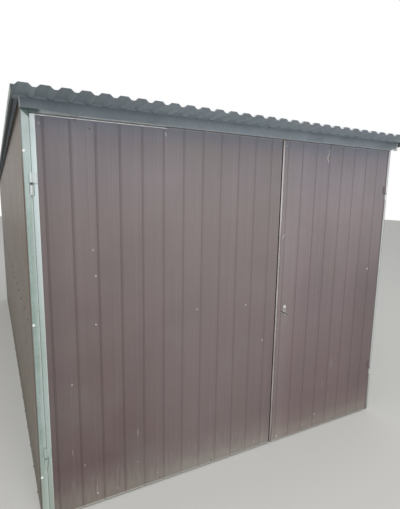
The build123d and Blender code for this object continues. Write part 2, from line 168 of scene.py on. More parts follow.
def galvanised(name, pale, dull, grime, grime_height, rust_from, run_share=1.0, metallic=0.35):
    """Weathered zinc on steel, with grime up to a height in metres and red rust from a noise level."""
    material, tree, shader = new_finish(name)
    place = add(tree, "TexCoord", {}, {}).outputs["Object"]
    height = add(tree, "SeparateXYZ", {}, {"Vector": place}).outputs["Z"]

    # Spangle, clouds and runs are added up to say how far the zinc has dulled.
    spangle = add(tree, "TexVoronoi", {}, {"Vector": place, "Scale": 1000 / spangle_mm})
    crystal = add(tree, "SeparateColor", {}, {"Color": spangle.outputs["Color"]}).outputs["Red"]
    clouds = add(tree, "TexNoise", {}, {"Vector": place, "Scale": 1000 / zinc_cloud_mm, "Detail": 5.0})
    upright = add(
        tree, "Mapping", {},
        {"Vector": place, "Scale": (1000 / zinc_run_mm, 1000 / zinc_run_mm, 1000 / zinc_run_length_mm)},
    )
    runs = add(tree, "TexNoise", {}, {"Vector": upright, "Scale": 1.0, "Detail": 3.0})
    crystals = add(tree, "Math", {"operation": "MULTIPLY"}, {0: crystal, 1: 0.22})
    clouded = add(tree, "Math", {"operation": "MULTIPLY_ADD"}, {0: clouds, 1: 1.3, 2: crystals})
    streaked = add(tree, "Math", {"operation": "MULTIPLY_ADD"}, {0: runs, 1: run_share, 2: clouded})
    level = 0.5 * run_share
    dulled = add(
        tree, "MapRange", {},
        {"Value": streaked, "From Min": 0.45 + level, "From Max": 1.1 + level},
    )
    zinc = add(tree, "Mix", {"data_type": "RGBA"}, {0: dulled, 6: linear(pale), 7: linear(dull)})
    tree.links.new(zinc.outputs[2], shader.inputs["Base Color"])

    # White rust in small specks, grime that thins out upwards, and first red rust.
    blotches(material, place, white_rust_mm, 2.0, (0.60, 0.70), 0.45, white_rust)
    low_down = add(
        tree, "MapRange", {},
        {"Value": height, "From Min": 0.0, "From Max": grime_height, "To Min": 1.5, "To Max": 0.0},
    )
    grimy = add(tree, "Math", {"operation": "MULTIPLY", "use_clamp": True}, {0: low_down, 1: runs})
    stain(material, grimy, grime)
    blotches(material, place, red_rust_mm, 7.0, (rust_from, rust_from + 0.08), 0.8, red_rust)

    shader.inputs["Metallic"].default_value = metallic
    gloss = add(
        tree, "MapRange", {},
        {"Value": streaked, "From Min": 0.4 + level, "From Max": 1.2 + level, "To Min": 0.4, "To Max": 0.62},
    )
    tree.links.new(gloss.outputs[0], shader.inputs["Roughness"])
    tooth = add(tree, "TexNoise", {}, {"Vector": place, "Scale": 1000 / zinc_tooth_mm, "Detail": 2.0})
    relief = add(tree, "Math", {"operation": "MULTIPLY_ADD"}, {0: tooth, 1: 0.3, 2: crystals})
    bump = add(tree, "Bump", {}, {"Height": relief, "Strength": 0.4, "Distance": 0.0006})
    tree.links.new(bump.outputs[0], shader.inputs["Normal"])
    return material


def stain(material, amount, colour):
    """Lays one more colour over a finish, by an amount from 0 to 1 that nodes work out."""
    tree = material.node_tree
    shader = tree.nodes["Principled BSDF"]
    under = shader.inputs["Base Color"].links[0].from_socket
    over = add(tree, "Mix", {"data_type": "RGBA"}, {0: amount, 6: under, 7: linear(colour)})
    tree.links.new(over.outputs[2], shader.inputs["Base Color"])


def blotches(material, place, size_mm, detail, levels, amount, colour):
    """Lays a colour over a finish in blotches, where a noise of a size rises through two levels."""
    tree = material.node_tree
    noise = add(tree, "TexNoise", {}, {"Vector": place, "Scale": 1000 / size_mm, "Detail": detail})
    sockets = {"Value": noise, "From Min": levels[0], "From Max": levels[1], "To Max": amount}
    stain(material, add(tree, "MapRange", {}, sockets), colour)


def stain_where(material, rises, amount, colour):
    """Lays a colour over a finish where every rise holds. A rise is (axis, start, end), along the place or,
    after the word facing, along the normal: nothing at the start, all of it at the end."""
    tree = material.node_tree
    coordinates = add(tree, "TexCoord", {}, {})
    share = amount
    for axis, start, end in rises:
        source = coordinates.outputs["Normal" if axis.startswith("facing") else "Object"]
        split = add(tree, "SeparateXYZ", {}, {"Vector": source})
        rise = add(
            tree, "MapRange", {"interpolation_type": "SMOOTHSTEP"},
            {"Value": split.outputs[axis[-1]], "From Min": start, "From Max": end},
        )
        share = add(tree, "Math", {"operation": "MULTIPLY"}, {0: share, 1: rise})
    stain(material, share, colour)


def finish(names, material):
    """Puts a finish on pieces of the frame."""
    for name in names:
        for material_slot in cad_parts[name].material_slots:
            material_slot.material = material


sky_lit_from = 1.35
sky_lit_to = 2.1
# Painted shadow of the fascia, dark green: on the top corner of the left post, with a slanted edge, and on
# the left end of the header's front.
fascia_shadow_paint = "#45605a"
shadow_left_x = -1.258
shadow_top_z = 2.0885
shadow_fade = 0.006
post_zinc = galvanised("galvanised_post", "#a6b7b2", "#84998f", "#b9c3b8", 0.50, 0.80)
stain_where(post_zinc, [("Z", sky_lit_from, sky_lit_to)], 0.6, "#c2cfce")
# Painted light against the shade near the leaf and the fascia: the inner half of the post lower down, a line
# along its inner edge, and its top are lightened.
stain_where(post_zinc, [("X", -1.252, -1.236), ("Z", 1.9, 1.0)], 0.22, "#dce6e1")
stain_where(post_zinc, [("X", -1.238, -1.232)], 0.3, "#eef3f2")
stain_where(post_zinc, [("Z", 2.00, 2.08)], 0.6, "#e6f1ef")
# The fascia's painted shadow on the post's top corner, cut off along a slant.
tree = post_zinc.node_tree
place = add(tree, "TexCoord", {}, {}).outputs["Object"]
split = add(tree, "SeparateXYZ", {}, {"Vector": place})
slant = add(tree, "Math", {"operation": "ADD"}, {0: split.outputs["X"], 1: split.outputs["Z"]})
slant_from = shadow_left_x + shadow_top_z
corner = add(
    tree, "MapRange", {"interpolation_type": "SMOOTHSTEP"},
    {"Value": slant, "From Min": slant_from, "From Max": slant_from + shadow_fade, "To Max": 0.85},
)
stain(post_zinc, corner, fascia_shadow_paint)

paint_on_post = "#776c6e"
right_post_zinc = galvanised("galvanised_post_right", "#d3dad8", "#b9c3bf", "#98a08f", 0.30, 0.80)
stain_where(right_post_zinc, [("Z", 1.70, 1.85)], 0.7, "#dde3ea")
stain_where(right_post_zinc, [("X", 1.2475, 1.2455)], 1.0, paint_on_post)
stain_where(right_post_zinc, [("X", 1.2515, 1.2495), ("Z", 0.45, 0.25)], 1.0, paint_on_post)
finish(["front_left_post", "rear_left_post", "rear_right_post"], post_zinc)
finish(["front_right_post"], right_post_zinc)
for number in (1, 2, 3):
    finish([f"left_wall_stud_{number}", f"right_wall_stud_{number}"], post_zinc)

# Rails, purlins, header beam and gate stop
# Lighter square tube and one flat bar, galvanised as the posts and welded between them. They have
# stayed dry under the roof: an even grey with a film of dust. The header and the stop are near white,
# whiter still on the faces seen in the shaded slit over the leaves: painted light. The left end of the
# header's front carries painted shadow of the fascia.
rail_zinc = galvanised("galvanised_rail", "#a7b0b1", "#858f90", "#84806f", 0.10, 0.80)
rails = ["rear_base_rail", "rear_mid_rail", "rear_top_rail"]
rails += [f"{side}_{rail}_rail" for side in ("left", "right") for rail in ("base", "mid", "top")]
rails += [f"roof_purlin_{number}" for number in (1, 2, 3)]
finish(rails, rail_zinc)
header_zinc = galvanised(
    "galvanised_header", "#dfe5e8", "#ccd4d8", "#84806f", 0.01, 0.85, metallic=0.0
)
# Painted shadow of the fascia on the left end of the header's front.
stain_where(header_zinc, [("X", -1.170, -1.195), ("facing Y", -0.8, -0.9)], 0.85, fascia_shadow_paint)
# Painted light in the shaded slit over the leaves: the header's underside and the stop's face there are near
# white.
stain_where(header_zinc, [("facing Z", -0.85, -0.95)], 1.0, "#fbfcfc")
stain_where(header_zinc, [("Z", 2.072, 2.080), ("Y", -2.480, -2.470)], 1.0, "#fbfcfc")
finish(["header_beam", "gate_stop"], header_zinc)

# Wall sheets
# Thin rolled steel with a brown baked coat outside and a thin grey back coat inside. Narrow grooves
# stiffen it, darkened partly for dirt and partly as painted shade, with a painted highlight on the
# shallow creases; the flats between them are faintly wavy, and rain and splashes streak it.
back_coat = "#a9aca9"
groove_dirt_and_shade = "#584d4b"
painted_crease_highlight = "#948b8a"
splash_colour = "#8c897d"
bare_edge = "#c9c5bc"
moss_grey = "#77746e"
sheet_top = 2.1
tone_heights = (0.03, 0.13, 0.50, 0.78, 0.97)
coat_cloud_mm = 340
coat_streak_mm = 16
coat_streak_length_mm = 900
coat_grain_mm = 3
orange_peel_mm = 2.5
sheet_wave_mm = 170
splash_mm = 14
splash_length_mm = 130
splash_height = 0.30
pale_edge_height = 0.009


def coated_sheet(name, sheet, across, tones):
    """Brown coil-coated steel for one wall or leaf, and the sockets that more wear can start from."""
    material, tree, shader = new_finish(name)
    box_low, box_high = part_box(sheet)
    axis = "XYZ".index(across)
    outer = max(abs(box_low[axis]), abs(box_high[axis]))
    outward = 1 if box_high[axis] > 0 else -1
    coordinates = add(tree, "TexCoord", {}, {})
    place = coordinates.outputs["Object"]
    split = add(tree, "SeparateXYZ", {}, {"Vector": place})
    height = split.outputs["Z"]
    facing = add(tree, "SeparateXYZ", {}, {"Vector": coordinates.outputs["Normal"]})
    inside = add(
        tree, "MapRange", {},
        {"Value": facing.outputs[across], "From Min": 0.1 * outward, "From Max": -0.1 * outward},
    )
    from_middle = add(tree, "Math", {"operation": "ABSOLUTE"}, {0: split.outputs[across]})
    depth = add(tree, "Math", {"operation": "SUBTRACT"}, {0: outer, 1: from_middle})

    # The coat: a tone that changes with height, under clouds, rain streaks and grain.
    share = add(tree, "Math", {"operation": "DIVIDE"}, {0: height, 1: sheet_top})
    tone = add(tree, "ValToRGB", {"stops": list(zip(tone_heights, tones))}, {"Fac": share})
    clouds = add(tree, "TexNoise", {}, {"Vector": place, "Scale": 1000 / coat_cloud_mm, "Detail": 4.0})
    upright = add(
        tree, "Mapping", {},
        {"Vector": place,
         "Scale": (1000 / coat_streak_mm, 1000 / coat_streak_mm, 1000 / coat_streak_length_mm)},
    )
    streaks = add(tree, "TexNoise", {}, {"Vector": upright, "Scale": 1.0, "Detail": 3.0})
    grain = add(tree, "TexNoise", {}, {"Vector": place, "Scale": 1000 / coat_grain_mm, "Detail": 3.0})
    clouded = add(tree, "Math", {"operation": "MULTIPLY_ADD"}, {0: clouds, 1: 0.30, 2: 0.66})
    streaked = add(tree, "Math", {"operation": "MULTIPLY_ADD"}, {0: streaks, 1: 0.20, 2: clouded})
    grained = add(tree, "Math", {"operation": "MULTIPLY_ADD"}, {0: grain, 1: 0.18, 2: streaked})
    coat = add(tree, "HueSaturation", {}, {"Color": tone, "Value": grained})
    tree.links.new(coat.outputs[0], shader.inputs["Base Color"])

    # A greenish film in patches.
    film_place = add(tree, "Mapping", {}, {"Vector": place, "Location": (3.1, 7.7, 1.9)})
    blotches(material, film_place, coat_cloud_mm, 5.0, (0.50, 0.70), 0.30, moss_grey)

    # Splashes from the ground, and the coat worn to a pale line along the lower edge.
    splash_place = add(
        tree, "Mapping", {},
        {"Vector": place, "Scale": (1000 / splash_mm, 1000 / splash_mm, 1000 / splash_length_mm)},
    )
    splashes = add(tree, "TexNoise", {}, {"Vector": splash_place, "Scale": 1.0, "Detail": 6.0})
    near_ground = add(
        tree, "MapRange", {"interpolation_type": "SMOOTHSTEP"},
        {"Value": height, "From Min": splash_height, "From Max": 0.0, "To Max": 0.42},
    )
    splashed = add(tree, "Math", {"operation": "ADD"}, {0: near_ground, 1: splashes})
    muddy = add(
        tree, "MapRange", {},
        {"Value": splashed, "From Min": 0.66, "From Max": 0.95, "To Max": 0.45},
    )
    stain(material, muddy, splash_colour)
    pale_from = box_low.z + pale_edge_height
    stain_where(material, [("Z", pale_from, pale_from - pale_edge_height / 2)], 0.7, bare_edge)

    # The grooves are darkened, partly for dirt and partly as painted shade, and the shallow creases get a
    # painted highlight.
    ragged = add(tree, "Math", {"operation": "MULTIPLY_ADD"}, {0: streaks, 1: 0.002, 2: depth})
    grooved = add(
        tree, "MapRange", {},
        {"Value": ragged, "From Min": 0.0025, "From Max": 0.0048, "To Max": 0.35},
    )
    stain(material, grooved, groove_dirt_and_shade)
    creased = add(
        tree, "MapRange", {"interpolation_type": "SMOOTHSTEP"},
        {"Value": depth, "From Min": 0.0003, "From Max": 0.0009, "To Max": 0.12},
    )
    shallow = add(tree, "Math", {"operation": "LESS_THAN"}, {0: depth, 1: 0.00105})
    crease = add(tree, "Math", {"operation": "MULTIPLY"}, {0: creased, 1: shallow})
    stain(material, crease, painted_crease_highlight)

    # Back coat and sheared edges.
    stain(material, inside, back_coat)
    sheared = add(tree, "Math", {"operation": "ABSOLUTE"}, {0: facing.outputs["Z"]})
    cut = add(tree, "MapRange", {}, {"Value": sheared, "From Min": 0.85, "From Max": 0.95})
    stain(material, cut, bare_edge)

    gloss = add(
        tree, "MapRange", {},
        {"Value": splashed, "From Min": 0.35, "From Max": 0.9, "To Min": 0.38, "To Max": 0.68},
    )
    tree.links.new(gloss.outputs[0], shader.inputs["Roughness"])
    waves = add(tree, "TexNoise", {}, {"Vector": place, "Scale": 1000 / sheet_wave_mm, "Detail": 1.0})
    wavy = add(tree, "Bump", {}, {"Height": waves, "Strength": 0.5, "Distance": 0.006})
    peel = add(tree, "TexNoise", {}, {"Vector": place, "Scale": 1000 / orange_peel_mm, "Detail": 1.0})
    peeled = add(tree, "Bump", {}, {"Height": peel, "Strength": 0.25, "Distance": 0.0004, "Normal": wavy})
    tree.links.new(peeled.outputs[0], shader.inputs["Normal"])
    return material, {"place": place, "inside": inside, "noise": splashes}


wall_tones = ("#585345", "#635849", "#6d6258", "#6f6053", "#716459")
for sheet, across in (("left_wall_sheet", "X"), ("right_wall_sheet", "X"), ("rear_wall_sheet", "Y")):
    wall_finish, sockets = coated_sheet(f"brown_coat_{sheet}", sheet, across, wall_tones)
    if sheet == "left_wall_sheet":
        # Painted light on the front end of the left wall near the top, against the shade of its grooves
        # there.
        stain_where(wall_finish, [("Y", -2.470, -2.482), ("Z", 1.75, 2.05)], 0.6, "#a9b3b0")
    finish([sheet], wall_finish)

# Wall screws
# Self-drilling hexagon screws with a washer, plated and then painted to the sheet, driven through
# the flats beside the grooves into each rail, and through the sheets' edges into the posts.
washer_radius = 0.0070
washer_height = 0.0016
head_radius = 0.0046
head_height = 0.0052
screw_from_groove = 0.024
groove_pitch = 0.120
rail_half = 0.0175
base_screw_lift = 0.004
rear_screw_lift = 0.003
edge_depth = 0.004
edge_screw_inset = 0.010
edge_screw_heights = (0.280, 1.110)
front_screw_places = ((-1.2575, 0.2614), (-1.2565, 1.0902), (-1.2575, 1.9159))
screw_chip_mm = 2.5
screw_random = random.Random(7)


def skin(solids, rings):
    """Adds a closed solid through rings of points, each counter-clockwise as seen along the way."""
    points, faces = solids
    first = len(points)
    sides = len(rings[0])
    last = first + (len(rings) - 1) * sides
    for ring in rings:
        points.extend(ring)
    for low in range(first, last, sides):
        high = low + sides
        for side in range(sides):
            following = (side + 1) % sides
            faces.append((low + side, high + side, high + following, low + following))
    faces.append(tuple(first + side for side in range(sides)))
    faces.append(tuple(last + side for side in reversed(range(sides))))


def turned(solids, profile, sides, place, axis, twist):
    """Adds a turned solid: (radius, height) pairs carried round an axis that stands on a place."""
    across = axis.orthogonal().normalized()
    beside = axis.cross(across)
    rings = []
    for radius, lift in profile:
        ring = []
        for side in reversed(range(sides)):
            angle = twist + 2 * math.pi * side / sides
            spoke = across * math.cos(angle) + beside * math.sin(angle)
            ring.append(place + axis * lift + spoke * radius)
        rings.append(ring)
    skin(solids, rings)


def hex_screw(solids, place, axis):
    """A washer and a hexagon head, a little crooked as a hand-held driver leaves them."""
    lean = Vector([screw_random.uniform(-0.04, 0.04) for _ in range(3)])
    axis = (axis + lean).normalized()
    washer = [
        (washer_radius, -0.0004),
        (washer_radius, washer_height * 0.5),
        (washer_radius * 0.9, washer_height * 0.85),
        (head_radius * 0.9, washer_height),
    ]
    head = [
        (head_radius, washer_height * 0.8),
        (head_radius, head_height * 0.86),
        (head_radius * 0.82, head_height),
    ]
    turned(solids, washer, 16, place, axis, 0.0)
    turned(solids, head, 6, place, axis, screw_random.uniform(0.0, math.pi))


def joined_piece(name, solids, body, material):
    """One piece made of separate closed solids, which rides on a body of the frame."""
    mesh = bpy.data.meshes.new(name)
    mesh.from_pydata(solids[0], [], solids[1])
    mesh.shade_smooth()
    mesh.set_sharp_from_angle(angle=math.radians(32))
    mesh.materials.append(material)
    piece = bpy.data.objects.new(name, mesh)
    bpy.context.scene.collection.objects.link(piece)
    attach(piece, body)


def screw_paint(name, paint, steel, worn_from):
    """Paint on a plated screw, chipped down to the plating where the driver gripped it."""
    material, tree, shader = new_finish(name)
    place = add(tree, "TexCoord", {}, {}).outputs["Object"]
    chips = add(tree, "TexNoise", {}, {"Vector": place, "Scale": 1000 / screw_chip_mm, "Detail": 3.0})
    worn = add(tree, "MapRange", {}, {"Value": chips, "From Min": worn_from, "From Max": worn_from + 0.06})
    layer = add(tree, "Mix", {"data_type": "RGBA"}, {0: worn, 6: linear(paint), 7: linear(steel)})
    tree.links.new(layer.outputs[2], shader.inputs["Base Color"])
    gloss = add(tree, "MapRange", {}, {"Value": chips, "To Min": 0.65, "To Max": 0.35})
    tree.links.new(gloss.outputs[0], shader.inputs["Roughness"])
    shader.inputs["Metallic"].default_value = 0.3
    bump = add(tree, "Bump", {}, {"Height": chips, "Strength": 0.3, "Distance": 0.0004})
    tree.links.new(bump.outputs[0], shader.inputs["Normal"])
    return material


painted_screw = screw_paint("painted_screw_brown", "#6e625f", "#b0b3b0", 0.60)
plated_screw = screw_paint("plated_screw_zinc", "#b9bdba", "#8b6f58", 0.66)

for side, outward in (("left", -1), ("right", 1)):
    sheet_low, sheet_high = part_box(f"{side}_wall_sheet")
    flats_x = sheet_high.x if outward > 0 else sheet_low.x
    rail_low, rail_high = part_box(f"{side}_top_rail")
    fall = (rail_high.z - rail_low.z - 2 * rail_half) / (rail_high.y - rail_low.y)
    solids = ([], [])
    groove = sheet_low.y + 2 * groove_pitch
    while groove < sheet_high.y - groove_pitch:
        screw_y = groove - screw_from_groove
        top_z = rail_high.z - rail_half - fall * (screw_y - rail_low.y)
        for screw_z in (rail_half + base_screw_lift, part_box(f"{side}_mid_rail")[0].z + rail_half, top_z):
            hex_screw(solids, Vector((flats_x, screw_y, screw_z)), Vector((outward, 0, 0)))
        groove += 2 * groove_pitch
    joined_piece(f"{side}_wall_screws", solids, "garage", painted_screw)

    solids = ([], [])
    edge_x = flats_x - outward * edge_depth
    for screw_z in edge_screw_heights:
        edge_place = Vector((edge_x, sheet_high.y - edge_screw_inset, screw_z))
        hex_screw(solids, edge_place, Vector((outward, 0, 0)))
    joined_piece(f"{side}_edge_screws", solids, "garage", plated_screw)

rear_low, rear_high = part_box("rear_wall_sheet")
solids = ([], [])
groove = rear_low.x + 2 * groove_pitch
while groove < rear_high.x - groove_pitch:
    for rail in ("base", "mid", "top"):
        rail_low, rail_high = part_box(f"rear_{rail}_rail")
        screw_z = (rail_low.z + rail_high.z) / 2 + rear_screw_lift
        hex_screw(solids, Vector((groove - screw_from_groove, rear_high.y, screw_z)), Vector((0, 1, 0)))
    groove += 2 * groove_pitch
joined_piece("rear_wall_screws", solids, "garage", painted_screw)

front_screw = screw_paint("plated_screw_bright", "#f0f3f0", "#d9dcd6", 0.60)
solids = ([], [])
for screw_x, screw_z in front_screw_places:
    hex_screw(solids, Vector((screw_x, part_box("front_left_post")[0].y, screw_z)), Vector((0, -1, 0)))
joined_piece("front_post_screws", solids, "garage", front_screw)

# Rear corner caps
# Folded galvanised angles over the rear corners, riveted through the sheets into the posts.
corner_zinc = galvanised("galvanised_corner_cap", "#a9b4b5", "#8b9799", "#857f6d", 0.25, 0.74)
finish(["rear_left_corner_cap", "rear_right_corner_cap"], corner_zinc)
rivet_radius = 0.0048
rivet_height = 0.0018
rivet_pitch = 0.30
rivet_inset = 0.022
rivet_dome = [
    (rivet_radius, -0.0003),
    (rivet_radius * 0.92, rivet_height * 0.5),
    (rivet_radius * 0.5, rivet_height),
]
for side, outward in (("left", -1), ("right", 1)):
    cap_low, cap_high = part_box(f"rear_{side}_corner_cap")
    cap_x = cap_high.x if outward > 0 else cap_low.x
    solids = ([], [])
    rivet_z = cap_low.z + rivet_pitch / 2
    while rivet_z < cap_high.z:
        side_place = Vector((cap_x, cap_high.y - rivet_inset, rivet_z))
        rear_place = Vector((cap_x - outward * rivet_inset, cap_high.y, rivet_z))
        turned(solids, rivet_dome, 14, side_place, Vector((outward, 0, 0)), 0.0)
        turned(solids, rivet_dome, 14, rear_place, Vector((0, 1, 0)), 0.0)
        rivet_z += rivet_pitch
    joined_piece(f"rear_{side}_corner_rivets", solids, "garage", plated_screw)

# Roof sheets
# Ribbed galvanised sheet, unpainted, dulled to a flat blue-grey. Dirt and lichen lie in the valleys
# on top, the underside is clean but dusty, and the sheared front edge shows bright metal.
roof_valley_dirt = "#6b6a5d"
roof_edge_bright = "#d5dadd"
roof_bottom_front = 2.142
roof_slope = math.radians(2.5)
roof_front_y = -2.5
lichen_mm = 60


def roof_bottom(y):
    """Height of the underside of the roof sheets at a place along the garage."""
    return roof_bottom_front - (y - roof_front_y) * math.tan(roof_slope)


roof_zinc = galvanised("galvanised_roof", "#c5d0d7", "#adbac2", "#858078", 0.01, 0.77)
tree = roof_zinc.node_tree
coordinates = add(tree, "TexCoord", {}, {})
place = coordinates.outputs["Object"]
split = add(tree, "SeparateXYZ", {}, {"Vector": place})
facing = add(tree, "SeparateXYZ", {}, {"Vector": coordinates.outputs["Normal"]})
over_slope = add(
    tree, "Math", {"operation": "MULTIPLY_ADD"},
    {0: split.outputs["Y"], 1: math.tan(roof_slope), 2: split.outputs["Z"]},
)
above = add(tree, "Math", {"operation": "SUBTRACT"}, {0: over_slope, 1: roof_bottom(0)})
valley = add(tree, "MapRange", {}, {"Value": above, "From Min": 0.009, "From Max": 0.001, "To Max": 1.1})
upward = add(tree, "MapRange", {}, {"Value": facing.outputs["Z"], "From Min": 0.1, "From Max": 0.4})
lichen = add(tree, "TexNoise", {}, {"Vector": place, "Scale": 1000 / lichen_mm, "Detail": 8.0})
in_valley = add(tree, "Math", {"operation": "MULTIPLY"}, {0: valley, 1: lichen})
dirty = add(tree, "Math", {"operation": "MULTIPLY", "use_clamp": True}, {0: in_valley, 1: upward})
stain(roof_zinc, dirty, roof_valley_dirt)
stain_where(roof_zinc, [("X", -0.45, -1.15)], 0.5, "#78828a")
stain_where(roof_zinc, [("facing Y", -0.85, -0.95)], 1.0, roof_edge_bright)
finish(["roof_sheet_left", "roof_sheet_middle", "roof_sheet_right"], roof_zinc)

# Roof screws
# Hexagon screws with a rubber-backed washer, driven through every second crest into the header
# beam, the purlins and the rear rail.
crest_height = 0.014
crest_pitch = 0.0835
valley_from_edge = 0.0047
roof_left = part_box("roof_sheet_left")[0].x
first_valley = roof_left + valley_from_edge
first_crest = first_valley + crest_pitch / 2
slope_up = Vector((0, math.sin(roof_slope), math.cos(roof_slope)))
solids = ([], [])
for carrier in ("header_beam", "roof_purlin_1", "roof_purlin_2", "roof_purlin_3", "rear_top_rail"):
    beam_low, beam_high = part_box(carrier)
    screw_y = (beam_low.y + beam_high.y) / 2
    crest = first_crest
    while crest < -roof_left:
        hex_screw(solids, Vector((crest, screw_y, roof_bottom(screw_y) + crest_height)), slope_up)
        crest += 2 * crest_pitch
joined_piece("roof_screws", solids, "garage", plated_screw)

# Roof fillers and cut edges
# Blocks of grey foam plug the ribs over the fascia and the header beam and keep the wind out. On the
# middle and right sheets the shears turned the front edge up in the valleys; the slivers are near
# white, a painted glint.
valley_half = 0.0084
rib_flank = 0.0146
rib_depth = 0.013
filler_gap = 0.0004
filler_inset = 0.002
burr_half = 0.011
burr_height = 0.0042
burr_thickness = 0.0009
burr_lean = 0.0004
burr_lift = 0.0006
burr_inset = 0.0002
burr_steps = 8


def filler(solids, valley, y_range, bottom):
    """Adds the plug of the rib to the right of a valley."""
    start = valley + valley_half + filler_gap
    end = valley + crest_pitch - valley_half - filler_gap
    rings = []
    for y in y_range:
        top = roof_bottom(y) + rib_depth - filler_gap
        outline = ((start, bottom), (end, bottom), (end - rib_flank, top), (start + rib_flank, top))
        rings.append([Vector((x, y, z)) for x, z in outline])
    skin(solids, rings)


def burr(solids, valley, front, bottom):
    """Adds one upturned sliver of cut edge across a valley."""
    leant = front + burr_lean
    rings = []
    for step in range(burr_steps + 1):
        across = 2 * step / burr_steps - 1
        x = valley + across * burr_half
        low = bottom + max(0.0, abs(x - valley) - valley_half) * rib_depth / rib_flank
        arch = math.sqrt(1 - 0.98 * across * across)
        high = low + burr_lean + burr_height * arch * screw_random.uniform(0.8, 1.05)
        outline = (
            (front, low),
            (leant, high),
            (leant + burr_thickness, high),
            (front + burr_thickness, low),
        )
        rings.append([Vector((x, y, z)) for y, z in outline])
    skin(solids, rings)


channel_low, channel_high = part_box("header_fascia")
filler_y = (channel_low.y + filler_inset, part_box("header_beam")[1].y - filler_inset)
solids = ([], [])
valley_x = first_valley
while valley_x < channel_high.x:
    if valley_x > channel_low.x - crest_pitch / 2:
        filler(solids, valley_x, filler_y, channel_high.z + filler_gap / 2)
    valley_x += crest_pitch
foam = screw_paint("closed_cell_foam", "#a2adb5", "#96a1a9", 0.50)
joined_piece("roof_fillers", solids, "garage", foam)

# Painted glint: the upturned slivers are near white.
cut_edge = galvanised("cut_edge_painted_glint", "#f1f4f6", "#dde2e5", "#c9ccc8", 0.01, 0.85)
middle_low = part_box("roof_sheet_middle")[0]
edge_bottom = roof_bottom(middle_low.y) + burr_lift
solids = ([], [])
valley_x = first_valley
while valley_x < -roof_left:
    if valley_x > middle_low.x:
        burr(solids, valley_x, middle_low.y + burr_inset, edge_bottom)
    valley_x += crest_pitch
joined_piece("roof_cut_edge", solids, "garage", cut_edge)

# Verge flashings
# Folded sheet on the two side edges of the roof, older and dirtier than the rest: the zinc has gone
# to a dark olive grey, streaked by the water that drips from it.
verge_zinc = galvanised("galvanised_verge", "#8b948d", "#6f7971", "#6a6b5c", 0.01, 0.70)
finish(["left_verge_flashing", "right_verge_flashing"], verge_zinc)

# Fascia
# Galvanised sheet folded into a channel over the gate. Its left end has been bent up, and its face
# is dull blue-grey with runs of dirt and a bright line where the cut edge shows.
fascia_zinc = galvanised("galvanised_fascia", "#a0aab3", "#929ca5", "#7a7a70", 0.01, 0.80, 0.25)
fascia_low, fascia_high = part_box("header_fascia")
# Painted shade along the top of the face, under the roof's edge. The face is also darker towards the left
# end.
stain_where(fascia_zinc, [("Z", fascia_high.z - 0.030, fascia_high.z)], 0.30, "#59626a")
stain_where(fascia_zinc, [("X", -0.30, -0.75)], 0.33, "#59646a")
stain_where(fascia_zinc, [("X", fascia_low.x + 0.006, fascia_low.x + 0.003)], 1.0, "#c3cacd")
# Painted light: the underside of the lip is near white, against the shade of the slit over the leaves.
stain_where(fascia_zinc, [("facing Z", -0.85, -0.95)], 1.0, "#f4f6f8")
finish(["header_fascia"], fascia_zinc)

# Fascia end cap
# A small folded cap of bare galvanised sheet, newer and brighter than the fascia that it closes,
# with light sheared edges.
cap_zinc = galvanised("bright_galvanised_cap", "#adb5bd", "#949da6", "#8d8c80", 0.01, 0.80, 0.25)
cap_low, cap_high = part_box("fascia_end_cap")
stain_where(cap_zinc, [("X", cap_high.x - 0.019, cap_high.x - 0.013)], 1.0, "#f2f4f6")
stain_where(cap_zinc, [("Z", cap_low.z + 0.010, cap_low.z + 0.006)], 1.0, "#e9ecef")
finish(["fascia_end_cap"], cap_zinc)

# Leaf frames
# Welded square tube behind the leaf sheets. The hinge stiles and the edge of the right leaf show
# as pale strips, and the faces inside the meeting gap are near black: painted shade of the narrow gap.
meeting_gap_shade = "#3f3836"
leaf_zinc = galvanised("galvanised_leaf_frame", "#c0c9c9", "#a0adab", "#8c8d7c", 0.30, 0.78)
stain_where(leaf_zinc, [("Z", sky_lit_from, sky_lit_to)], 0.75, "#e8eff6")
# Painted light on the rails seen in the shaded slit under the fascia: their top faces are near white, and a
# white band along the top rail's front, which is also its bright raw edge.
stain_where(leaf_zinc, [("Z", 2.050, 2.070), ("facing Z", 0.85, 0.95)], 1.0, "#f6f8fa")
stain_where(leaf_zinc, [("Z", 2.070, 2.074), ("facing Y", -0.85, -0.95)], 1.0, "#fbfcfd")
strip_zinc = galvanised("galvanised_leaf_edge", "#b6c4c0", "#a6b4af", "#9fa897", 0.50, 0.82)
stain_where(strip_zinc, [("Z", 0.9, 1.75)], 0.65, "#d6e2e6")
# Painted light: the hinge stile's top is lightened against the fascia's shade.
stain_where(strip_zinc, [("Z", 2.00, 2.08)], 0.8, "#f2f8fb")
stain_where(strip_zinc, [("X", -1.215, -1.225)], 0.15, "#8ea39d")
# Painted highlight along the stile's edge beside the sheet.
stain_where(strip_zinc, [("X", -1.2115, -1.2070)], 0.45, "#eef2f1")
stile_zinc = galvanised("galvanised_meeting_stile", "#d6cdce", "#a79c9c", "#978e87", 0.45, 0.78)
stain_where(stile_zinc, [("Z", 1.35, 1.75)], 0.45, "#f2ecee")
right_stile_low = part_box("right_leaf_meeting_stile")[0]
stain_where(stile_zinc, [("X", right_stile_low.x + 0.004, right_stile_low.x + 0.001)], 0.6, "#857a78")
# Painted shade inside the narrow meeting gap: its side faces are near black.
for outward in (-1, 1):
    stain_where(stile_zinc, [("facing X", 0.45 * outward, 0.75 * outward)], 0.92, meeting_gap_shade)
finish(["left_leaf_hinge_stile"], strip_zinc)
finish(["right_leaf_hinge_stile", "left_leaf_rails", "right_leaf_rails"], leaf_zinc)
finish(["left_leaf_meeting_stile", "right_leaf_meeting_stile"], stile_zinc)

